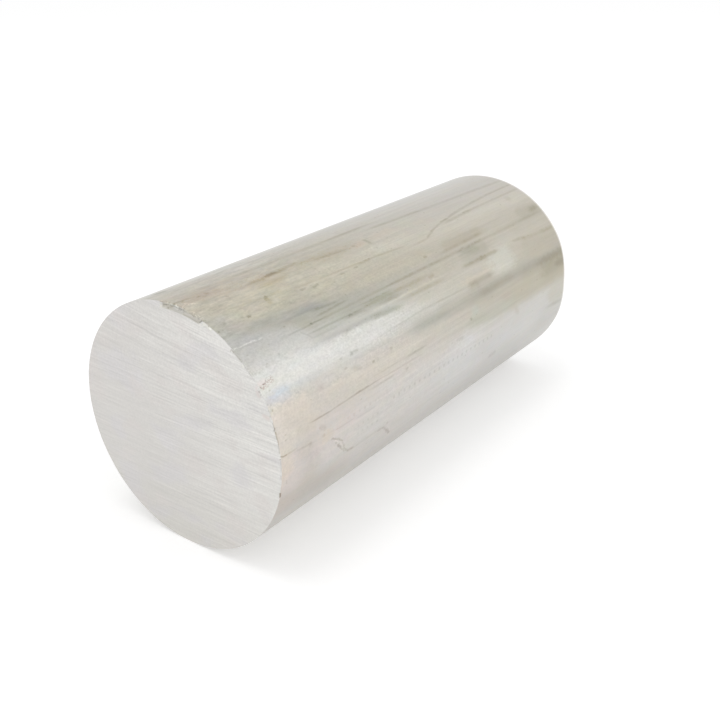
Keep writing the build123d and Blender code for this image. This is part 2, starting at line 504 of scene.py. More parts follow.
# Wide films of tint on the skin: start, end, half width, softness, tone, fade, amount
skinFilms = [cover(*row) for row in (
    # the end that was wiped clean: a frosted grey wedge, then the pale band beside it, clean metal with part
    # of the softbox highlight painted on
    ((-8, 34.5), (23.5, 50), 5, 1.6, (0.512, 0.506, 0.48), 4, 1),
    ((-8, 52.5), (34, 54), 2.2, 2, (0.557, 0.552, 0.532), 14, 1),
    ((-8, 57), (58, 57.4), 2.6, 1.8, (0.56, 0.555, 0.53), 18, 1),
    ((-1, 61.3), (8.5, 61.3), 1.7, 0.9, (0.5, 0.505, 0.51), 3, 0.95),  # greyish
    ((0, 60.2), (7.5, 60.2), 0.6, 0.9, (0.487, 0.525, 0.552), 2.5, 0.85),  # bluish
    ((10, 61), (21, 61.4), 0.7, 0.6, (0.49, 0.49, 0.475), 2, 0.8),
    ((16, 65.5), (34, 66.5), 1.2, 1, (0.53, 0.51, 0.475), 5, 0.8),
    # heat tint by the near end, orange and then pink
    ((-8, 73), (15, 73.5), 5, 1.8, (0.605, 0.557, 0.492), 4, 0.9),
    ((-8, 84), (4, 88), 11, 3, (0.655, 0.606, 0.545), 4.5, 0.95),
    ((16, 73), (60, 73.5), 3.2, 2.4, (0.59, 0.55, 0.488), 9, 0.6),
    ((9, 82), (13, 112), 3.2, 2.8, (0.565, 0.53, 0.49), 3, 0.75),
    ((14, 87.6), (19, 89.4), 1.5, 1, (0.63, 0.58, 0.51), 2, 0.75),
    ((-5, 110), (27, 113), 3.8, 2.5, (0.55, 0.518, 0.475), 7, 0.75),
    ((18, 96), (38, 97), 3.4, 2.6, (0.615, 0.6, 0.565), 5, 0.6),
    # the edge of the old film, blue-grey and then dark green
    ((-2, 29), (12, 33), 1.8, 1.4, (0.475, 0.465, 0.425), 3, 0.8),
    ((9, 32.5), (36, 37), 1.7, 1.7, (0.425, 0.42, 0.378), 6, 0.9),
    ((25, 35.2), (32, 36.4), 0.9, 1, (0.39, 0.395, 0.375), 3, 0.85),
    ((22, 39.5), (50, 40.5), 1.7, 1.7, (0.44, 0.432, 0.385), 6, 0.8),
    ((22, 46), (40, 47), 2, 1.2, (0.465, 0.458, 0.425), 4, 0.9),
    ((34, 45), (60, 46), 1.4, 1.4, (0.4, 0.398, 0.345), 7, 0.85),
    ((23, 48.6), (56, 49.6), 1, 0.8, (0.455, 0.45, 0.415), 7, 0.8),
    ((45, 51.2), (57, 52.6), 0.7, 0.7, (0.425, 0.425, 0.38), 3, 0.8),
    ((62, 52), (90, 55), 2.6, 2, (0.455, 0.432, 0.37), 7, 0.7),
    ((56, 65.4), (80, 66), 1.6, 1.2, (0.42, 0.412, 0.37), 6, 0.9),
    # brown and olive films above
    ((-4, -6), (24, -7), 3.6, 2.4, (0.49, 0.46, 0.395), 8, 0.7),
    ((3, 4.5), (16, 5.5), 2.2, 1.8, (0.487, 0.436, 0.368), 3, 0.8),
    ((18, 11.5), (62, 13.5), 2, 1.8, (0.515, 0.478, 0.392), 6, 0.7),
    ((60, 13.6), (66, 14.2), 1.1, 0.9, (0.585, 0.515, 0.44), 2, 0.8),
    ((69, 13.8), (83, 13.8), 1.3, 1.1, (0.59, 0.535, 0.46), 3, 0.7),
    ((84, 13), (92, 12), 2.6, 1.8, (0.555, 0.545, 0.46), 3, 0.6),
    ((91, 16), (98, 18), 1.6, 1.3, (0.58, 0.53, 0.46), 3, 0.6),
    ((64, 22), (84, 22), 1.6, 1.5, (0.595, 0.57, 0.492), 5, 0.8),
    ((14, 17), (30, 18), 1.4, 1.2, (0.57, 0.54, 0.44), 4, 0.6),
    ((-4, 24), (8, 26), 2.8, 2.4, (0.487, 0.48, 0.43), 4, 0.8),
    ((42, 33), (84, 35), 2, 1.6, (0.525, 0.488, 0.4), 9, 0.7),
    ((90, 36.4), (112, 36.6), 1.5, 1.1, (0.475, 0.437, 0.36), 3, 0.85),
    ((62, 46.5), (93, 46.5), 2, 1.6, (0.47, 0.44, 0.368), 6, 0.7),
    ((94, 45.6), (109, 46), 2.2, 1.6, (0.43, 0.408, 0.348), 3, 0.85),
    ((97, 43.4), (103, 44.4), 1.2, 1, (0.375, 0.365, 0.295), 2, 0.7),
    ((112, 46), (124, 47), 2.6, 2, (0.515, 0.49, 0.43), 3, 0.6),
    ((134, 38.6), (150, 39), 2.2, 1.6, (0.455, 0.425, 0.35), 4, 0.7),
    ((86, 58), (104, 57.4), 0.9, 0.7, (0.5, 0.458, 0.38), 3, 0.7),
    ((103, 56.4), (120, 57), 3.6, 1.8, (0.53, 0.52, 0.46), 3.5, 0.9),
    ((126, 58), (152, 59), 3, 2.2, (0.44, 0.41, 0.34), 4, 0.7),
    # the dark band towards the far end and the olive film below it
    ((72, 65.8), (156, 68.2), 1.3, 1.4, (0.408, 0.392, 0.34), 8, 0.8),
    ((104, 76.8), (156, 78.6), 3.6, 2, (0.47, 0.44, 0.36), 7, 0.8),
    ((132, 73.5), (156, 74), 2.3, 1.8, (0.405, 0.383, 0.315), 3.5, 0.85),
    ((87, 74.6), (92, 75), 1.8, 1.3, (0.49, 0.495, 0.43), 1.6, 0.8),
    ((84, 78.4), (112, 80.6), 1.6, 1.3, (0.475, 0.47, 0.4), 5, 0.8),
    ((104, 74), (110, 74.4), 1.2, 1, (0.48, 0.432, 0.37), 2, 0.7),
    ((136, 89.5), (156, 89.5), 3.4, 2.6, (0.53, 0.51, 0.445), 4, 0.85),
    ((66, 97), (92, 98), 6.5, 4.5, (0.622, 0.616, 0.6), 9, 0.8),
    ((96, 97), (112, 98), 2.4, 2, (0.595, 0.59, 0.585), 5, 0.6),
)]

# Narrow drawn streaks: start, end, half width, softness, gain, fade, amount, bow
skinStreaks = [shade(*row) for row in (
    ((10, 0.2), (78, 1), 0.6, 0.6, (0.9, 0.89, 0.86), 10),
    ((58, 0.8), (79, 0.9), 0.45, 0.45, (0.87, 0.86, 0.83), 5),
    ((0, 2.6), (6, 3.4), 0.35, 0.35, (0.8, 0.78, 0.72), 2),
    ((21, 10.3), (36, 9.6), 0.6, 0.5, (0.82, 0.79, 0.73), 3),
    ((28, 9.6), (32, 9.4), 0.6, 0.5, (0.73, 0.7, 0.64), 1.2),
    ((31, 9.2), (40, 8.8), 0.5, 0.5, (0.84, 0.83, 0.78), 2.5),
    ((22, 15.2), (32, 14.6), 0.8, 0.8, (0.89, 0.87, 0.79), 3),
    ((37, 9.6), (56, 12.6), 0.6, 0.6, (0.92, 0.9, 0.87), 5),
    ((45, 12.2), (60, 14), 0.35, 0.35, (0.82, 0.8, 0.75), 4),
    ((8, 19.4), (26, 22.2), 0.25, 0.25, (0.89, 0.88, 0.84), 5),
    ((28, 23.4), (64, 25.2), 0.22, 0.25, (0.89, 0.87, 0.83), 6),
    ((55, 25.6), (61, 25.2), 0.35, 0.35, (0.84, 0.82, 0.77), 2),
    ((62, 25.2), (76, 26.6), 0.3, 0.3, (0.86, 0.84, 0.8), 3),
    ((79, 28.4), (88, 28), 0.3, 0.3, (0.89, 0.87, 0.83), 3),
    ((75, 5.8), (100, 7.4), 0.5, 0.5, (0.82, 0.81, 0.77), 5),
    ((96, 7.4), (150, 10.2), 0.5, 0.6, (0.87, 0.86, 0.84), 8),
    ((87.5, 27.7), (104, 21.4), 0.3, 0.3, (0.78, 0.77, 0.72), 1.5, 1, -0.6),
    ((102, 21.7), (150, 16.6), 0.35, 0.4, (0.81, 0.8, 0.77), 3, 1, -0.9),
    ((100, 23.6), (117, 22.6), 0.45, 0.45, (0.82, 0.81, 0.76), 3),
    ((110, 22.6), (150, 21.8), 0.38, 0.4, (0.86, 0.85, 0.82), 4),
    # the bundle of lines below the brown film
    ((17, 35.6), (33, 36.2), 0.3, 0.3, (0.88, 0.88, 0.88), 4),
    ((28, 37), (38, 37.9), 0.3, 0.3, (0.77, 0.78, 0.74), 2),
    ((28, 40), (41, 39.2), 0.3, 0.3, (0.78, 0.78, 0.74), 3),
    ((14, 42), (30, 42), 0.2, 0.2, (0.79, 0.8, 0.78), 4),
    ((27, 42), (60, 41.8), 0.3, 0.3, (0.86, 0.86, 0.83), 5),
    ((58, 41.8), (112, 41.8), 0.36, 0.36, (0.8, 0.78, 0.73), 5),
    ((112, 42.2), (150, 41.6), 0.4, 0.5, (0.87, 0.86, 0.82), 8),
    ((22, 45.4), (44, 46), 0.22, 0.22, (0.81, 0.82, 0.8), 4),
    ((36, 46.6), (44, 46.8), 0.3, 0.3, (0.81, 0.81, 0.79), 2),
    ((22, 47.6), (33, 47.8), 0.2, 0.22, (0.87, 0.88, 0.87), 3),
    ((44, 45.6), (74, 46), 0.45, 0.5, (0.85, 0.84, 0.79), 5),
    ((50, 47.6), (61, 47.9), 0.45, 0.45, (0.8, 0.78, 0.73), 4),
    ((44, 44.2), (58, 44.3), 0.18, 0.2, (0.84, 0.84, 0.79), 4),
    ((18, 50.8), (50, 51.4), 0.5, 0.55, (0.85, 0.85, 0.86), 5),
    ((33, 51.4), (36, 51.6), 0.35, 0.35, (0.83, 0.84, 0.83), 1.5),
    ((20.3, 42.8), (22.8, 47.4), 0.2, 0.25, (0.87, 0.87, 0.87)),
    ((44, 52), (58, 53), 0.5, 0.5, (0.83, 0.84, 0.81), 3),
    ((46, 49.2), (76, 49), 0.25, 0.3, (1.08, 1.08, 1.06), 6),
    ((58, 50.6), (81, 51.2), 0.45, 0.45, (0.85, 0.84, 0.79), 5),
    ((86, 38.8), (111, 38.2), 0.45, 0.45, (0.85, 0.83, 0.78), 4),
    ((91, 50.4), (112, 50.8), 0.55, 0.5, (0.78, 0.76, 0.7), 2),
    ((100.5, 50.5), (105, 50.6), 0.5, 0.5, (0.87, 0.87, 0.81), 1.5),
    ((122, 50.2), (131, 51.4), 0.4, 0.4, (0.87, 0.86, 0.83), 3),
    ((126, 52.2), (150, 53.2), 0.5, 0.5, (0.92, 0.91, 0.88), 5),
    ((139, 53.2), (150, 53.4), 0.5, 0.5, (0.92, 0.91, 0.88), 3),
    # beside and below the pale band
    ((45, 60.6), (66, 59.4), 0.2, 0.2, (0.85, 0.86, 0.85), 4),
    ((64, 59.4), (91, 60.4), 0.22, 0.22, (0.86, 0.85, 0.82), 5),
    ((90, 59.6), (104, 60.6), 0.7, 0.7, (0.79, 0.79, 0.76), 2.5),
    ((89, 61.2), (96, 61.8), 0.8, 0.8, (0.89, 0.88, 0.84), 2),
    ((60, 65.8), (76, 66.4), 0.8, 0.8, (0.91, 0.92, 0.9), 5),
    ((92, 66.8), (116, 67.2), 0.9, 0.9, (0.89, 0.87, 0.84), 5),
    ((118, 68.4), (158, 69.2), 1.7, 1.5, (0.9, 0.89, 0.87), 6),
    ((130, 68), (152, 68.6), 0.9, 0.9, (0.89, 0.87, 0.84), 4),
    ((12, 78.4), (20, 78.6), 0.22, 0.22, (0.73, 0.7, 0.67), 2),
    ((20, 78.4), (40, 77.8), 0.2, 0.2, (0.79, 0.77, 0.75), 3),
    ((27, 77.9), (35, 77.8), 0.2, 0.2, (0.83, 0.81, 0.8), 2),
    ((40, 78), (60, 78.4), 0.18, 0.2, (0.89, 0.87, 0.86), 5),
    ((38, 75.3), (50, 75.4), 0.18, 0.2, (0.89, 0.88, 0.87), 4),
    ((52, 75.6), (62, 75.5), 0.26, 0.26, (0.77, 0.76, 0.74), 3),
    ((35, 80), (46, 80), 0.22, 0.22, (0.83, 0.81, 0.79), 2),
    ((1, 85.2), (6, 85.2), 0.2, 0.22, (0.85, 0.83, 0.79), 2),
    ((4, 86.2), (12, 87.2), 0.2, 0.25, (0.89, 0.875, 0.86), 3),
    ((20, 88.2), (28, 88.2), 0.16, 0.18, (0.87, 0.85, 0.83), 2),
    ((28, 89), (37, 89), 0.24, 0.25, (0.89, 0.88, 0.88), 2),
    ((26, 104.2), (44, 103.6), 0.35, 0.4, (0.91, 0.91, 0.9), 4),
    ((112, 84), (115, 89), 0.9, 0.8, (0.92, 0.9, 0.87), 1.5),
    ((136, 97.4), (149, 99.2), 0.6, 0.6, (0.85, 0.85, 0.83), 3),
    ((128, 104), (158, 105), 6, 4, (0.93, 0.925, 0.91), 8),
    ((132, 76), (158, 77), 4, 3, (0.96, 0.945, 0.905), 6),
    ((78, 83), (94, 84), 2.5, 2, (1.05, 1.06, 1.09), 7),
    ((84, 66), (104, 66.5), 2.2, 1.5, (0.93, 0.93, 0.92), 6),
    ((-8, 99), (9, 104), 8, 4, (1.035, 0.995, 0.985), 5),  # a blush by the near end
    ((8, 90), (32, 92), 4.5, 4, (1.025, 0.995, 1), 8),
    ((-4, 5), (32, 9), 5, 4, (1.022, 0.998, 0.99), 8),
)]

# Small marks, with the same columns: spots, ticks, scratches and specks of dirt
skinSpots = [shade(*row) for row in (
    ((3.6, -15.8), (7.4, -14.6), 1.1, 1, (0.71, 0.71, 0.67)),
    ((67.2, 12.2), (67.4, 17), 0.5, 0.5, (0.75, 0.74, 0.68)),
    ((66.8, 20.6), (67.4, 20.6), 0.4, 0.4, (0.8, 0.8, 0.77)),
    ((60.8, 14), (62, 13.2), 0.35, 0.35, (0.78, 0.77, 0.71)),
    ((20.9, 20.7), (19.6, 22.4), 0.35, 0.35, (0.73, 0.71, 0.63)),
    ((19.2, 22.6), (20.8, 24.6), 0.9, 0.9, (0.86, 0.84, 0.75)),
    ((10.4, 26.8), (11.8, 27), 0.42, 0.4, (0.65, 0.65, 0.6)),
    ((12.1, 11.6), (12.8, 13), 0.3, 0.3, (0.82, 0.8, 0.75)),
    ((2.2, 4), (3.4, 2.8), 0.4, 0.4, (0.79, 0.77, 0.7)),
    ((7.2, 4), (7.6, 5.4), 0.4, 0.4, (0.81, 0.78, 0.69)),
    ((9.2, 5), (10.6, 4.6), 0.5, 0.5, (0.81, 0.78, 0.7)),
    ((2.2, 5.6), (4.6, 9.2), 0.16, 0.16, (1.3, 1.29, 1.29), 0.16, 1, 0.25),
    ((0.6, 7.6), (2.6, 6.4), 0.12, 0.14, (1.24, 1.23, 1.22)),
    ((8.8, 25.6), (9.8, 26.2), 0.25, 0.25, (0.75, 0.75, 0.71)),
    ((3.4, 25), (4.2, 25.4), 0.35, 0.35, (0.71, 0.72, 0.69)),
    ((30.6, 25.3), (32.6, 25.6), 0.26, 0.26, (0.76, 0.75, 0.7)),
    ((34.6, 26.8), (37.4, 26.2), 0.3, 0.3, (0.76, 0.76, 0.7)),
    ((46.4, 26.4), (48, 26.6), 0.25, 0.25, (0.8, 0.78, 0.73)),
    ((52.6, 26.2), (54.2, 26.4), 0.3, 0.3, (0.79, 0.77, 0.72)),
    ((78.6, 36.8), (80.2, 36.8), 0.35, 0.35, (0.78, 0.76, 0.7)),
    ((74.4, 47.4), (77.4, 46.8), 0.5, 0.5, (0.86, 0.84, 0.79)),
    ((137, 26.6), (140, 25.4), 1, 0.9, (0.9, 0.89, 0.87)),
    ((142, 38.8), (148, 38.2), 0.8, 0.8, (0.8, 0.79, 0.73), 2),
    ((10.2, 47.1), (10.8, 47), 0.22, 0.22, (0.75, 0.75, 0.74)),
    ((24.8, 41.8), (25.6, 41.8), 0.24, 0.24, (0.71, 0.72, 0.69)),
    ((38, 46), (39.4, 46.2), 0.3, 0.3, (0.77, 0.78, 0.76)),
    ((31.4, 61.2), (32.8, 60.8), 0.45, 0.4, (0.69, 0.69, 0.67)),
    ((32.8, 60.6), (35, 60.8), 0.22, 0.25, (0.79, 0.79, 0.77)),
    ((27.4, 61), (28.6, 60.6), 0.2, 0.22, (0.82, 0.82, 0.8)),
    ((27.6, 65.7), (28.8, 65.6), 0.22, 0.24, (0.78, 0.76, 0.73)),
    ((38.4, 69.2), (39.4, 69.3), 0.3, 0.3, (0.72, 0.71, 0.67)),
    ((46.4, 68), (47.6, 68.1), 0.26, 0.28, (0.8, 0.78, 0.75)),
    ((30.6, 67.2), (34, 69), 0.5, 0.5, (0.9, 0.88, 0.86)),
    ((17.4, 66), (18.4, 68.6), 0.9, 0.8, (0.93, 0.91, 0.92)),
    ((51, 80.6), (52.4, 80.6), 0.32, 0.32, (0.8, 0.79, 0.77)),
    ((14.2, 82.4), (16.6, 84.6), 0.6, 0.6, (0.87, 0.84, 0.82)),
    ((10, 87), (11, 87.4), 0.5, 0.5, (0.86, 0.84, 0.83)),
    ((15, 87.2), (16.2, 87.4), 0.35, 0.35, (0.86, 0.84, 0.81)),
    ((85.6, 76.2), (86.6, 76.2), 0.42, 0.42, (0.69, 0.69, 0.64)),
    ((77, 82.4), (80.8, 82.4), 0.4, 0.45, (0.87, 0.87, 0.86)),
    ((142, 73.8), (150, 74.8), 1, 1, (0.84, 0.82, 0.79), 2),
    ((106.8, 57), (107.4, 57), 0.5, 0.5, (0.9, 0.89, 0.87)),
    ((98.6, 105), (103.4, 105.4), 0.7, 0.7, (0.84, 0.84, 0.83)),
    ((1.8, 97), (2.2, 99), 0.16, 0.18, (0.85, 0.83, 0.8)),
    # the two dents low on the side
    ((18.3, 91.1), (20, 92.4), 0.2, 0.18, (0.73, 0.69, 0.63)),
    ((19.8, 92), (23.4, 95.9), 0.2, 0.22, (0.8, 0.78, 0.73)),
    ((20, 94.4), (20.7, 95.1), 0.16, 0.16, (0.82, 0.8, 0.76)),
    ((21.1, 96.4), (22.6, 99.2), 0.3, 0.25, (0.72, 0.69, 0.66)),
    ((22.4, 99), (24.6, 102.6), 0.22, 0.25, (0.85, 0.83, 0.79)),
    ((22.9, 96.2), (24.2, 99.8), 0.16, 0.2, (0.87, 0.85, 0.82)),
    ((24, 100.2), (26, 103.2), 0.18, 0.2, (0.83, 0.82, 0.77)),
    ((25.6, 103), (28.4, 104), 0.35, 0.35, (0.8, 0.77, 0.73)),
    ((20.1, 92.9), (21.6, 95.6), 0.14, 0.15, (1.13, 1.12, 1.11)),
    ((22.3, 96.6), (23.5, 99), 0.14, 0.15, (1.12, 1.11, 1.09)),
    ((38.8, 104.2), (42.2, 104.5), 0.35, 0.35, (0.86, 0.84, 0.83)),
    ((41.4, 104), (44.2, 108.2), 0.28, 0.3, (0.84, 0.82, 0.8)),
    ((43.8, 107.8), (46.4, 111.8), 0.45, 0.35, (0.77, 0.75, 0.73)),
    ((42.9, 102.6), (43.8, 103.4), 0.3, 0.3, (0.86, 0.85, 0.83)),
    ((44.4, 106), (46.5, 110.6), 0.12, 0.14, (1.08, 1.07, 1.06)),
    # the bright scratch by the near end
    ((-1, 37), (9.6, 37.8), 0.15, 0.14, (1.24, 1.24, 1.24), 0.14, 1, 0.12),
    ((1.6, 38.3), (9.6, 38.8), 0.12, 0.14, (0.89, 0.89, 0.88)),
    ((4.4, 36.6), (9, 37), 0.12, 0.14, (0.9, 0.9, 0.9)),
)]

# Patches crowded with dark specks
skinSpeckles = (
    shade((2, 5), (66, 13.5), 2.6, 2, (0.84, 0.8, 0.7), 6, 0.9),
    shade((12, 20), (40, 24), 2.4, 1.8, (0.87, 0.85, 0.76), 5, 0.7),
    shade((4, 32), (36, 36), 2.2, 1.6, (0.86, 0.87, 0.84), 5, 0.8),
    shade((20, 44), (74, 47), 3.2, 2, (0.86, 0.86, 0.8), 6, 0.7),
    shade((14, 62.4), (38, 62.4), 1, 0.8, (0.84, 0.84, 0.81), 4, 0.8),
    shade((40, 52.2), (62, 53), 1, 0.8, (0.82, 0.83, 0.78), 4, 0.8),
    shade((12, 84), (40, 86), 3.4, 2.6, (0.92, 0.89, 0.86), 6, 0.7),
)

# Rows of evenly spaced faint ticks that the straightening rolls left
rollTicks = (
    shade((44, 90.4), (98, 92), 0.45, 0.3, (0.87, 0.87, 0.86), pitch=2.5),
    shade((29, 93.2), (39, 93.4), 0.35, 0.3, (0.91, 0.91, 0.9), pitch=2.1),
    shade((29, 97.2), (39, 97.4), 0.35, 0.3, (0.91, 0.91, 0.9), pitch=2.1),
    shade((24, 86.4), (38, 86.6), 0.3, 0.3, (0.92, 0.91, 0.9), pitch=2.3),
)

# Marks along the near rim. They run over both the face and the skin, so their first number is
# millimetres from the arris: below zero on the face, above zero on the skin.
rimMarks = (
    # the torn strip, with a pale burr at its start and a shadow line along the face
    cover((-0.62, -3.6), (-0.55, 18.3), 0.88, 0.28, (0.54, 0.522, 0.468), 0.4),
    cover((-0.62, 3), (-0.55, 9), 0.7, 0.4, (0.55, 0.54, 0.502), 0.6),
    # a painted light mark on the skin beside the strip, lifting the shade its slope casts
    cover((0.1, 9.5), (0.15, 16.5), 0.28, 0.3, (0.545, 0.52, 0.455), 0.6),
    cover((-1.35, -4.9), (-0.95, -3.5), 0.2, 0.14, (0.72, 0.7, 0.63)),
    cover((-1.55, -3.9), (-1.05, -0.9), 0.09, 0.1, (0.64, 0.62, 0.56)),
    cover((-0.8, -4.6), (-0.35, -4.2), 0.16, 0.12, (0.64, 0.64, 0.58)),
    cover((-0.75, -1.8), (-0.15, 0.6), 0.08, 0.1, (0.6, 0.56, 0.48)),
    shade((-0.65, -3.1), (-0.45, -2.4), 0.22, 0.16, (0.76, 0.76, 0.72)),
    shade((-1.35, -0.2), (-1, 0.5), 0.18, 0.16, (0.69, 0.66, 0.6)),
    shade((-0.85, 0.8), (-0.25, 2.8), 0.13, 0.14, (0.79, 0.76, 0.7)),
    shade((0.3, 3.3), (1, 2.2), 0.25, 0.3, (0.92, 0.9, 0.85)),
    shade((-1.4, 3.2), (-1.35, 6.8), 0.09, 0.1, (0.89, 0.9, 0.9)),
    cover((-1.1, 5.7), (-0.75, 7.5), 0.06, 0.08, (0.6, 0.58, 0.54)),
    cover((-0.8, 7.6), (0.1, 7.9), 0.08, 0.08, (0.61, 0.585, 0.54)),
    cover((0.1, 4.8), (-0.5, 6.6), 0.06, 0.08, (0.57, 0.55, 0.5)),
    shade((-0.9, 6.1), (-0.3, 6.3), 0.07, 0.08, (0.81, 0.8, 0.79)),
    shade((-0.7, 7.1), (-0.2, 7.3), 0.07, 0.08, (0.81, 0.8, 0.79)),
    shade((-0.8, 8.5), (-0.1, 9.2), 0.08, 0.1, (0.81, 0.8, 0.79)),
    shade((-1.3, 8.8), (-1.2, 13.3), 0.13, 0.14, (0.89, 0.89, 0.86)),
    shade((-1.28, 13.6), (-1.05, 18.1), 0.12, 0.14, (0.85, 0.85, 0.84)),
    cover((-0.85, 9.6), (-0.75, 17.4), 0.14, 0.16, (0.58, 0.55, 0.51)),
    cover((-0.6, 16.2), (-0.2, 18.2), 0.08, 0.08, (0.7, 0.67, 0.61)),
    shade((-1, 18.2), (0.05, 19.1), 0.18, 0.14, (0.57, 0.57, 0.53)),
    # bright flakes past the tear, then a thin pale burr: bare metal, painted lighter still for the highlight
    # the burr catches
    cover((-0.5, 19.9), (-0.45, 25.2), 0.32, 0.25, (0.74, 0.73, 0.67)),
    cover((-1.6, 18), (-0.9, 19.6), 0.12, 0.12, (0.74, 0.72, 0.67)),
    cover((-1.5, 19.5), (-0.5, 21.3), 0.13, 0.12, (0.75, 0.74, 0.69)),
    cover((-0.45, 23.5), (-0.35, 24.7), 0.24, 0.16, (0.86, 0.85, 0.79)),
    shade((-1.4, 20.4), (-0.6, 22.2), 0.07, 0.08, (0.85, 0.85, 0.85)),
    cover((-0.55, 25), (-0.5, 36), 0.2, 0.24, (0.755, 0.745, 0.72)),
    cover((-0.3, 27.6), (0.15, 28.7), 0.08, 0.08, (0.74, 0.73, 0.69)),
    shade((0, 19.6), (0.9, 20.1), 0.25, 0.2, (0.81, 0.81, 0.75)),
    shade((-0.15, 22.7), (-0.05, 23.3), 0.12, 0.12, (0.7, 0.66, 0.6)),
    shade((0.55, 27.4), (0.8, 28), 0.38, 0.3, (0.64, 0.64, 0.6)),
    shade((1.85, 27.5), (2, 28), 0.2, 0.2, (0.77, 0.77, 0.72)),
    shade((-0.95, 36.3), (-0.7, 37), 0.17, 0.14, (0.79, 0.78, 0.75)),
    cover((-0.3, 36.4), (-0.15, 43.6), 0.22, 0.22, (0.52, 0.51, 0.47)),
    shade((-0.4, 37.5), (-0.3, 38.4), 0.2, 0.16, (0.83, 0.82, 0.79)),
    shade((-0.3, 41.4), (0.1, 42.3), 0.1, 0.1, (0.81, 0.8, 0.77)),
    cover((-0.15, 44), (-0.1, 50), 0.25, 0.3, (0.6, 0.595, 0.565)),
    cover((-0.65, 44), (-0.55, 45.5), 0.28, 0.24, (0.765, 0.755, 0.71)),
    cover((-2, 44), (-0.4, 48.3), 0.12, 0.14, (0.75, 0.74, 0.72)),
    # dirt and a pink blush where the pale band meets the rim
    cover((-0.9, 55.8), (-1.1, 59.3), 0.5, 0.5, (0.665, 0.625, 0.6)),
    cover((-1, 55.4), (-0.1, 54.3), 0.26, 0.3, (0.715, 0.67, 0.65)),
    cover((0.2, 54.2), (3, 53.6), 0.5, 0.5, (0.565, 0.53, 0.515)),
    shade((-0.55, 56.4), (-0.1, 57), 0.24, 0.16, (0.76, 0.73, 0.72)),
    shade((-0.5, 58), (-0.15, 58.3), 0.22, 0.16, (0.78, 0.79, 0.77)),
    shade((0.6, 55.1), (0.75, 56.3), 0.16, 0.14, (0.75, 0.71, 0.7)),
    shade((1.5, 54.9), (2.6, 54.8), 0.17, 0.14, (0.67, 0.62, 0.61)),
    shade((2.95, 53.6), (2.8, 54.6), 0.15, 0.14, (0.73, 0.69, 0.68)),
    shade((0.3, 62.2), (0.5, 63.1), 0.22, 0.22, (0.87, 0.88, 0.87)),
    shade((1.1, 63.2), (1.3, 63.8), 0.2, 0.2, (0.87, 0.87, 0.86)),
    cover((-0.1, 64.6), (0.8, 65.8), 0.4, 0.35, (0.56, 0.54, 0.5)),
    shade((1.15, 65.1), (1, 66.2), 0.2, 0.2, (0.8, 0.77, 0.71)),
    cover((0.75, 66), (0.45, 67.2), 0.12, 0.12, (0.66, 0.62, 0.53)),
    cover((-2.4, 66.2), (-0.5, 68.8), 0.5, 0.6, (0.675, 0.63, 0.6)),
    cover((-1.05, 67.4), (-0.75, 67.6), 0.16, 0.14, (0.77, 0.7, 0.67)),
    shade((-0.3, 66.8), (0, 67.7), 0.2, 0.18, (0.84, 0.82, 0.79)),
    # the dark line where the arris is crushed, and the crack that leaves it: painted shade in the gap and
    # the crack
    shade((-0.25, 70), (-0.15, 72.4), 0.12, 0.12, (0.75, 0.74, 0.72)),
    shade((0.05, 72.2), (-0.5, 73.8), 0.16, 0.12, (0.59, 0.57, 0.54)),
    shade((-0.15, 73.8), (-0.15, 75.2), 0.2, 0.14, (0.64, 0.6, 0.53)),
    shade((-0.2, 75.2), (-0.15, 77.3), 0.18, 0.14, (0.67, 0.66, 0.59)),
    shade((0, 77.2), (-0.05, 79.6), 0.16, 0.14, (0.74, 0.7, 0.66)),
    shade((-0.1, 79.4), (-0.2, 83.4), 0.16, 0.16, (0.82, 0.8, 0.77)),
    shade((-0.05, 84.4), (0.9, 85.2), 0.13, 0.12, (0.61, 0.58, 0.53)),
    shade((0.8, 85.2), (2.2, 85.2), 0.16, 0.16, (0.73, 0.68, 0.62)),
    shade((-0.35, 86.2), (0, 85.6), 0.12, 0.1, (0.67, 0.66, 0.61)),
    shade((-0.1, 86.6), (-0.15, 91.4), 0.09, 0.09, (0.79, 0.78, 0.75)),
    shade((-0.2, 93.4), (-0.1, 95.2), 0.16, 0.16, (0.82, 0.8, 0.77)),
    shade((0.05, 98.4), (0.05, 101.4), 0.12, 0.12, (0.86, 0.85, 0.81)),
    shade((0, 101.6), (0.2, 104.2), 0.26, 0.18, (0.5, 0.45, 0.39)),
)

rustSpecks = cover((0.4, 55.8), (5.2, 54.1), 0.8, 0.35, (0.4, 0.32, 0.3))


def toneRing(tree, turn, tones):
    strip = addNode(tree, "ShaderNodeValToRGB", {0: ramp(tree, turn, -180.0, 180.0)})
    stops = strip.color_ramp.elements
    stops[0].position, stops[0].color = 0.0, (*tones[0][1], 1.0)
    stops[1].position, stops[1].color = 1.0, (*tones[-1][1], 1.0)
    for degrees, tone in tones[1:-1]:
        stop = stops.new((degrees + 180) / 360)
        stop.color = (*tone, 1.0)
    return strip.outputs[0]


def layRim(tree, colour, place, noise):
    inset = minus(tree, radiusMm, place["outward"])
    fromArris = minus(tree, place["along"], inset)
    for mark in rimMarks:
        colour = layOn(tree, colour, mark, fromArris, place["turn"], noise, skinFinish["fray"]["rim"])
    return colour


def newMetal(name):
    metal = bpy.data.materials.new(name)
    metal.use_nodes = True
    tree = metal.node_tree
    return metal, tree, barPlace(tree, addNode(tree, "ShaderNodeTexCoord").outputs["Object"])


def finishMetal(tree, colour, rough, height, depth):
    shader = tree.nodes["Principled BSDF"]
    plug(tree, colour, shader.inputs["Base Color"])
    shader.inputs["Metallic"].default_value = 1.0
    plug(tree, rough, shader.inputs["Roughness"])
    bump = addNode(tree, "ShaderNodeBump", {"Strength": 1.0, "Distance": depth, "Height": height})
    plug(tree, bump.outputs[0], shader.inputs["Normal"])


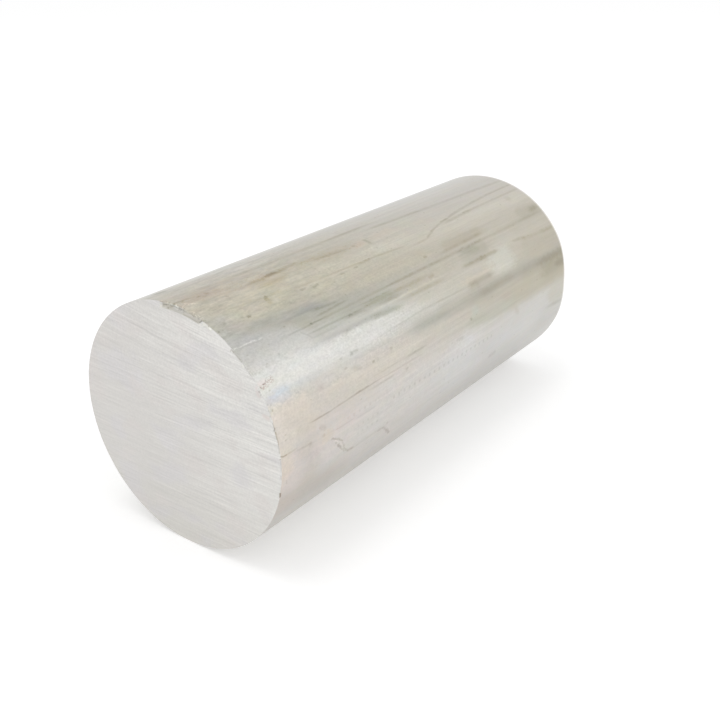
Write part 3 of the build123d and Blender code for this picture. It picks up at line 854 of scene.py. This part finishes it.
# Kinds of grain in the skin, from broad waves to fine grit
def skinGrains(tree, mm):
    return dict(
        broad=grain(tree, mm, (45, 6, 6), 2.0, 3.0),
        drawn=grain(tree, mm, (40, 1.1, 1.1), 9.0, 3.0, 0.6),
        fine=grain(tree, mm, (16, 0.32, 0.32), 21.0, 2.0, 0.6),
        cloud=grain(tree, mm, (11, 5, 5), 57.0, 3.0, 0.6),
        mottle=grain(tree, mm, (2.0, 1.3, 1.3), 33.0, 4.0, 0.65),
        grit=grain(tree, mm, (0.7, 0.5, 0.5), 66.0, 2.0, 0.7),
        blotches=grain(tree, mm, (5.0, 1.3, 1.3), 91.0, 3.0, 0.65),
    )


# The films lie unevenly, so their places wander; marks and spots keep nearer to theirs
def strayPlaces(tree, along, turn, grains, finish):
    films, marks, spots = finish["filmWander"], finish["markWander"], finish["spotWander"]
    cloud, mottle, grit = grains["cloud"], grains["mottle"], grains["grit"]
    filmAlong = wander(tree, wander(tree, along, cloud, films["cloudAlong"]), mottle, films["mottleAlong"])
    filmTurn = wander(tree, wander(tree, turn, mottle, films["mottleTurn"]), cloud, films["cloudTurn"])
    markPlace = (wander(tree, along, mottle, marks["along"]), wander(tree, turn, mottle, marks["turn"]))
    spotPlace = (wander(tree, along, grit, spots["along"]), wander(tree, turn, mottle, spots["turn"]))
    return (filmAlong, filmTurn), markPlace, spotPlace


def layFilms(tree, filmPlace, grit, swing, finish):
    nearTone, farTone = [toneRing(tree, filmPlace[1], finish[name]) for name in ("nearTones", "farTones")]
    colour = mixTint(tree, nearTone, farTone, ease(tree, filmPlace[0], 30, 125))
    for mark in skinFilms:
        colour = layOn(tree, colour, mark, *filmPlace, swing, finish["fray"]["film"], mark["amount"])
    specks = ease(tree, grit, 0.52, 0.64)
    for mark in skinSpeckles:
        colour = layOn(tree, colour, mark, *filmPlace, amount=times(tree, specks, mark["amount"]))
    return colour


def layStreaks(tree, colour, along, markPlace, grains, swing, fray):
    strand = timesPlus(tree, grains["fine"], 0.5, times(tree, grains["drawn"], 0.5))
    broken = timesPlus(tree, grains["mottle"], 0.45, times(tree, strand, 0.55))
    thready = ramp(tree, broken, 0.39, 0.59, 0.25, 1.3)
    even = ramp(tree, broken, 0.39, 0.59, 0.75, 1.1)
    for mark in skinStreaks:
        share = thready if mark["width"] < 0.6 else even  # only narrow ones break up into threads
        colour = layOn(tree, colour, mark, *markPlace, swing, fray["mark"], share)
    for mark in rollTicks:
        beat = calc(tree, "PINGPONG", along, mark["pitch"] / 2)
        ticks = ease(tree, beat, 0.25 * mark["pitch"], 0.08 * mark["pitch"])
        colour = layOn(tree, colour, mark, *markPlace, swing, fray["mark"], ticks)
    return colour


def scatterPits(tree, mm):
    cells = vectorCalc(tree, "DIVIDE", mm, (3.6, 2.0, 2.0))
    pits = addNode(tree, "ShaderNodeTexVoronoi", {"Vector": cells, "Scale": 1.0})
    chosen = addNode(tree, "ShaderNodeSeparateXYZ", {0: pits.outputs["Color"]}).outputs[0]
    return times(tree, ease(tree, pits.outputs["Distance"], 0.15, 0.05), ease(tree, chosen, 0.72, 0.8))


# A painted highlight: a thin light line along the far rim, following the dip
def paintFarRimHighlight(tree, colour, along, turn, finish):
    fromRim = minus(tree, lengthMm, calc(tree, "ADD", along, farDipAt(tree, turn)))
    rimHighlight = ease(tree, fromRim, finish["rimHighlightWidth"], 0.15, 0.0, 0.9)
    return mixTint(tree, colour, finish["rimHighlightTone"], rimHighlight)


# How much the grain lightens the skin at each place, around 1
def skinLift(tree, along, turn, filmTurn, grains, streakShare, finish):
    streaky = times(tree, sway(tree, grains["drawn"], finish["lines"]), streakShare)
    streaky = timesPlus(tree, sway(tree, grains["fine"], finish["hairs"]), streakShare, streaky)
    lift = calc(tree, "ADD", streaky, sway(tree, grains["broad"], finish["broad"], 1.0))
    # grain like fine sand, strongest on the pale band where part of the highlight is painted
    mottled, gritty = [sway(tree, grains[name], finish[name]) for name in ("mottle", "grit")]
    sandy = calc(tree, "ADD", mottled, gritty)
    onBand = times(tree, ease(tree, apart(tree, filmTurn, 56.0), 9, 5), ease(tree, along, 80, 50))
    sandy = times(tree, sandy, timesPlus(tree, onBand, 0.1, ease(tree, turn, 60, 72, 1.0, 0.72)))
    lift = timesPlus(tree, sandy, ease(tree, along, 40, 110, 1.0, 0.35), lift)
    upperSide = ease(tree, apart(tree, turn, 35.0), 95, 40, 0.5, 1.0)
    return timesPlus(tree, minus(tree, lift, 1.0), upperSide, 1.0)


def driftHue(tree, colour, mm, blotched, hueSwing):
    patches = vectorCalc(tree, "DIVIDE", mm, (5, 2.5, 2.5))
    hues = addNode(tree, "ShaderNodeTexNoise", {"Vector": patches, "Scale": 1.0, "Detail": 2.0})
    swung = vectorCalc(tree, "SUBTRACT", hues.outputs["Color"], (0.5, 0.5, 0.5))
    swung = scaled(tree, swung, timesPlus(tree, blotched, 0.35, 0.8))
    shift = vectorCalc(tree, "MULTIPLY_ADD", swung, hueSwing, (1.0, 1.0, 1.0))
    return vectorCalc(tree, "MULTIPLY", colour, shift)


def makeSkinMaterial(finish):
    metal, tree, place = newMetal("millSkin")
    mm, along, turn, fray = place["mm"], place["along"], place["turn"], finish["fray"]
    grains = skinGrains(tree, mm)
    drawn, mottle, grit = grains["drawn"], grains["mottle"], grains["grit"]
    swing = timesPlus(tree, mottle, 0.4, times(tree, drawn, 0.25))
    swing = minus(tree, timesPlus(tree, grit, 0.5, swing), 0.575)
    filmPlace, markPlace, spotPlace = strayPlaces(tree, along, turn, grains, finish)
    colour = layFilms(tree, filmPlace, grit, swing, finish)
    colour = layStreaks(tree, colour, along, markPlace, grains, swing, fray)
    patchy = ramp(tree, grit, 0.35, 0.6, 0.55, 1.1)
    for mark in skinSpots:
        colour = layOn(tree, colour, mark, *spotPlace, swing, fray["spot"], patchy)
    crumbs = ease(tree, grain(tree, mm, (0.45, 0.3, 0.3), 71.0, 1.0), 0.48, 0.6, 0.0, 0.75)
    colour = layOn(tree, colour, rustSpecks, along, turn, amount=crumbs)
    pit = scatterPits(tree, mm)
    colour = mixTint(tree, colour, finish["pitTone"], times(tree, pit, 0.8), "MULTIPLY")
    colour = layRim(tree, colour, place, swing)
    colour = paintFarRimHighlight(tree, colour, along, turn, finish)

    # streaks of every width vary the whole skin, least by the near end
    streakShare = times(tree, ease(tree, along, 6, 45, 0.4, 1.0), ease(tree, along, 90, 145, 1.0, 0.6))
    lift = skinLift(tree, along, turn, filmPlace[1], grains, streakShare, finish)
    # blotches on the brown film by the near end, where the hue drifts most too
    blotched = times(tree, ease(tree, filmPlace[0], 62, 26), between(tree, filmPlace[1], -30, -8, 30, 40))
    lift = timesPlus(tree, sway(tree, grains["blotches"], finish["blotches"]), blotched, lift)
    colour = driftHue(tree, scaled(tree, colour, lift), mm, blotched, finish["hueSwing"])

    rough = sway(tree, grains["broad"], finish["roughSway"], finish["roughness"])
    rough = wander(tree, rough, mottle, finish["roughMottle"])
    height = timesPlus(tree, times(tree, grains["fine"], streakShare), 0.6, drawn)
    height = timesPlus(tree, grit, 0.6, height)
    height = timesPlus(tree, pit, -1.2, height)
    finishMetal(tree, colour, rough, height, finish["bump"])
    return metal


endFinish = dict(
    roughness=0.46,
    roughSway=0.04,
    bump=0.00003,  # metres
    tone=(0.645, 0.63, 0.608),
    paintedLightTone=(0.708, 0.698, 0.673),
    lowTone=(0.645, 0.632, 0.598),
    cloudTone=(0.64, 0.625, 0.63),
    blushTone=(0.66, 0.628, 0.608),
    coarse=0.015,
    main=0.028,
    fine=0.047,
    crystals=0.035,
    hair=0.06,
)


def makeSawnMaterial(finish):
    metal, tree, place = newMetal("sawnFace")
    up, right = place["up"], place["right"]
    rows = sawRows(tree, place, place["along"], 0.01, 0.16)
    coarse = grain(tree, rows, (40, 60, 3.2), 3.0, 1.0)
    main = grain(tree, rows, (40, 24, 1.15), 10.0, 2.0, 0.6)
    fine = grain(tree, rows, (40, 12, 0.45), 16.0, 2.0, 0.6)
    hair = grain(tree, rows, (40, 17, 0.55), 27.0, 1.0)
    cloud = grain(tree, rows, (40, 14, 9), 44.0, 2.0)
    blush = grain(tree, rows, (40, 12, 8), 83.0, 2.0)
    crystals = grain(tree, place["mm"], (0.6, 0.6, 0.6), 49.0, 2.0)

    colour = addNode(tree, "ShaderNodeRGB").outputs[0]
    colour.default_value = (*finish["tone"], 1.0)
    # painted light: the face is lightened towards its upper right
    paintedLightShare = ease(tree, timesPlus(tree, up, 0.3, right), -16.0, 30.0)
    colour = mixTint(tree, colour, finish["paintedLightTone"], paintedLightShare)
    colour = mixTint(tree, colour, finish["lowTone"], ease(tree, up, -8.0, -34.0, 0.0, 0.8))
    colour = mixTint(tree, colour, finish["cloudTone"], ease(tree, cloud, 0.5, 0.66, 0.0, 0.6))
    colour = mixTint(tree, colour, finish["blushTone"], ease(tree, blush, 0.5, 0.66, 0.0, 0.5))
    # lines of the saw rows lighten and darken the face: real saw marks, with the light lines partly painted
    # glints
    rowLifts = [sway(tree, coarse, finish["coarse"], 1.0), sway(tree, main, finish["main"], 1.0)]
    rowLifts += [sway(tree, fine, finish["fine"], 1.0), sway(tree, crystals, finish["crystals"], 1.0)]
    rowLifts += [ease(tree, hair, 0.58, 0.72, 1.0, 1.0 + finish["hair"])]
    rowLifts += [ease(tree, hair, 0.42, 0.28, 1.0, 1.0 - finish["hair"])]
    lift = times(tree, *rowLifts)
    # the lines are strongest at the top and right of the face
    lively = times(tree, ease(tree, up, -12.0, 28.0, 0.84, 1.42), ease(tree, right, -30.0, 30.0, 0.76, 1.1))
    lift = timesPlus(tree, minus(tree, lift, 1.0), lively, 1.0)
    colour = layRim(tree, scaled(tree, colour, lift), place, minus(tree, crystals, 0.5))
    rough = sway(tree, main, finish["roughSway"], finish["roughness"])
    height = timesPlus(tree, crystals, 0.3, timesPlus(tree, fine, 0.7, hair))
    finishMetal(tree, colour, rough, height, finish["bump"])
    return metal


bar.data.materials.append(makeSkinMaterial(skinFinish))
bar.data.materials.append(makeSawnMaterial(endFinish))
for face, isSawn in zip(bar.data.polygons, sawn):
    face.material_index = 1 if isSawn else 0
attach(bar, "root")
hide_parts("bar")
print("bar dressed")


# Floor, air, lamps and camera
studio = dict(floorSize=8, floorTone=0.8, floorLift=0.36, airForDiffuse=0.78)
lamps = (
    dict(name="rightSoftbox", place=(0.75, -0.95, 0.62), size=(0.9, 0.9), power=1.5),
    dict(name="topSoftbox", place=(-0.25, 0.15, 1.2), size=(0.5, 0.5), power=2.0),
)
view = dict(
    place=(-0.21348, -0.15392, 0.14256), tilt=65.56, heading=-54.22,
    lens=47.5, sensor=36, shift=(0.0, 0.0005), clip=(0.01, 20),
)


def shownOrMirrored(tree):
    seen = addNode(tree, "ShaderNodeLightPath").outputs
    first = calc(tree, "MAXIMUM", seen["Is Camera Ray"], seen["Is Glossy Ray"])
    return calc(tree, "MAXIMUM", first, seen["Is Transmission Ray"])


clearSelection()
bpy.ops.mesh.primitive_plane_add(size=studio["floorSize"], location=(0, 0, 0))
floor = bpy.context.object
floor.name = "paleFloor"
matt = bpy.data.materials.new("paleFloor")
matt.use_nodes = True
tree = matt.node_tree
shader = tree.nodes["Principled BSDF"]
shader.inputs["Base Color"].default_value = (studio["floorTone"],) * 3 + (1.0,)
shader.inputs["Roughness"].default_value = 1.0
shader.inputs["Specular IOR Level"].default_value = 0.0
floorGlow = times(tree, shownOrMirrored(tree), studio["floorLift"])
glow = addNode(tree, "ShaderNodeEmission", {"Strength": floorGlow})
both = addNode(tree, "ShaderNodeAddShader", {0: shader.outputs[0], 1: glow.outputs[0]})
tree.links.new(both.outputs[0], tree.nodes["Material Output"].inputs["Surface"])
floor.data.materials.append(matt)

world = bpy.data.worlds.new("studioAir")
bpy.context.scene.world = world
world.use_nodes = True
tree = world.node_tree
air = tree.nodes["Background"]
air.inputs["Color"].default_value = (1.0, 1.0, 1.0, 1.0)
plug(tree, ramp(tree, shownOrMirrored(tree), 0.0, 1.0, studio["airForDiffuse"], 1.0), air.inputs["Strength"])

for lamp in lamps:
    clearSelection()
    bpy.ops.object.light_add(type="AREA", location=lamp["place"])
    light = bpy.context.object
    light.name = lamp["name"]
    light.data.shape = "RECTANGLE"
    light.data.size, light.data.size_y = lamp["size"]
    light.data.energy = lamp["power"]
    aim = Vector((0, 0, axisHeight)) - Vector(lamp["place"])
    light.rotation_euler = aim.to_track_quat("-Z", "Y").to_euler()

clearSelection()
turned = (math.radians(view["tilt"]), 0, math.radians(view["heading"]))
bpy.ops.object.camera_add(location=view["place"], rotation=turned)
camera = bpy.context.object
camera.data.lens = view["lens"]
camera.data.sensor_width = view["sensor"]
camera.data.shift_x, camera.data.shift_y = view["shift"]
camera.data.clip_start, camera.data.clip_end = view["clip"]
bpy.context.scene.camera = camera
bpy.context.scene.view_settings.view_transform = "Standard"
print("studio set")

bpy.context.view_layer.update()
